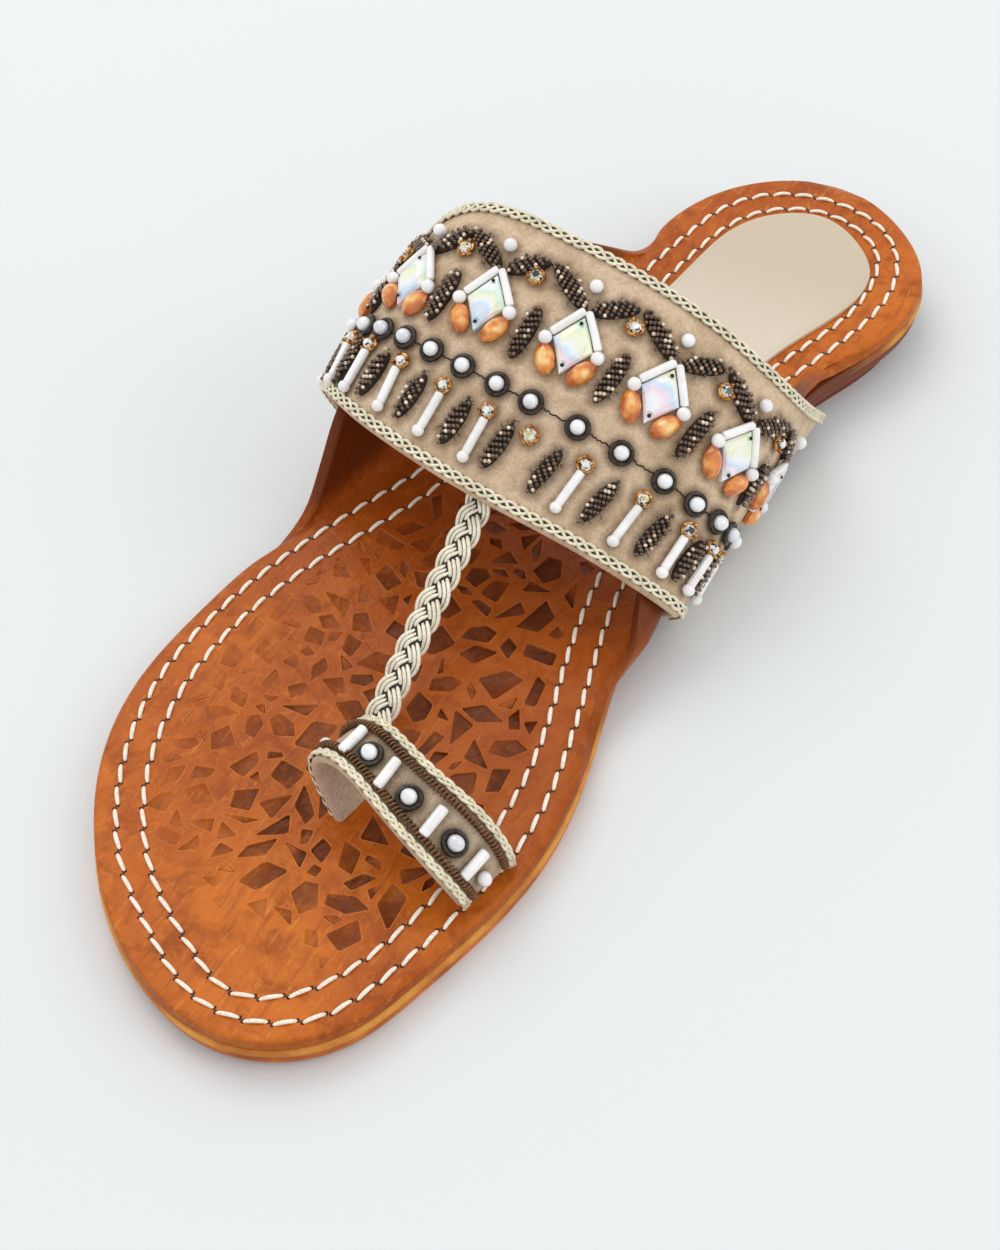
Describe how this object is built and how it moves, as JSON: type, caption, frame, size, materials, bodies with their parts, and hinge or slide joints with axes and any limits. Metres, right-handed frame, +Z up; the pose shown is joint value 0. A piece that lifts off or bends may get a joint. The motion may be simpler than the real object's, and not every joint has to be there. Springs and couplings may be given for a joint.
{
  "type": "kolhapuri sandal",
  "caption": "Flat leather slip-on sandal for a right foot, with a beaded vamp strap, a big-toe ring joined to it by a plait, and a low stacked heel.",
  "frame": {"origin": "middle of the bounding box's floor rectangle; the floor is z = 0, which the heel cap and the forefoot's outsole both stand on", "axes": "+X to the shoe's inner (medial) side, -Y to the toe, +Z up"},
  "size_m": [0.0989, 0.2516, 0.0617],
  "materials": {
    "tan_leather": "tooled vegetable-tanned leather, waxed, orange tan with darker embossed chips",
    "layer_leather": "cut edge of the inner sole layers, yellow tan",
    "dark_leather": "outsole and heel cap, red-brown, burnished edge",
    "velvet": "short-nap beige velvet",
    "gold_thread": "metallic pale-gold plaited cord",
    "pad_leather": "smooth beige lining leather with a soft sheen, bare",
    "crystal": "faceted clear stones with an iridescent coat, and amber drops",
    "bronze_bead": "dark bronze seed beads with gold glints",
    "white_bead": "white bugle beads and silvery pearls"
  },
  "bodies": {
    "root": {"top_sole": "tan_leather", "midsole": "layer_leather", "outsole": "dark_leather", "heel_lift_upper": "layer_leather", "heel_lift_lower": "dark_leather", "heel_pad": "pad_leather", "vamp_strap": "velvet", "vamp_trim_front": "gold_thread", "vamp_trim_back": "gold_thread", "toe_ring": "velvet", "ring_trim_rear": "gold_thread", "ring_trim_front": "gold_thread", "braid_link": "gold_thread", "bead_zigzag": "bronze_bead", "pearl_chain": "white_bead", "crystal_motif_1": "crystal", "crystal_motif_2": "crystal", "crystal_motif_3": "crystal", "crystal_motif_4": "crystal", "crystal_motif_5": "crystal", "crystal_motif_6": "crystal", "crystal_motif_7": "crystal", "crystal_motif_8": "crystal", "mid_leaf_1": "bronze_bead", "mid_leaf_2": "bronze_bead", "mid_leaf_3": "bronze_bead", "mid_leaf_4": "bronze_bead", "mid_leaf_5": "bronze_bead", "mid_leaf_6": "bronze_bead", "mid_leaf_7": "bronze_bead", "matchstick_01": "white_bead", "matchstick_02": "white_bead", "matchstick_03": "white_bead", "matchstick_04": "white_bead", "matchstick_05": "white_bead", "matchstick_06": "white_bead", "matchstick_07": "white_bead", "matchstick_08": "white_bead", "matchstick_09": "white_bead", "matchstick_10": "white_bead", "matchstick_11": "white_bead", "matchstick_12": "white_bead", "matchstick_13": "white_bead", "low_leaf_01": "bronze_bead", "low_leaf_02": "bronze_bead", "low_leaf_03": "bronze_bead", "low_leaf_04": "bronze_bead", "low_leaf_05": "bronze_bead", "low_leaf_06": "bronze_bead", "low_leaf_07": "bronze_bead", "low_leaf_08": "bronze_bead", "low_leaf_09": "bronze_bead", "low_leaf_10": "bronze_bead", "ring_bar_1": "white_bead", "ring_bar_2": "white_bead", "ring_bar_3": "white_bead", "ring_bar_4": "white_bead", "ring_ball_1": "white_bead", "ring_ball_2": "white_bead", "ring_ball_3": "white_bead"}
  },
  "joints": []
}
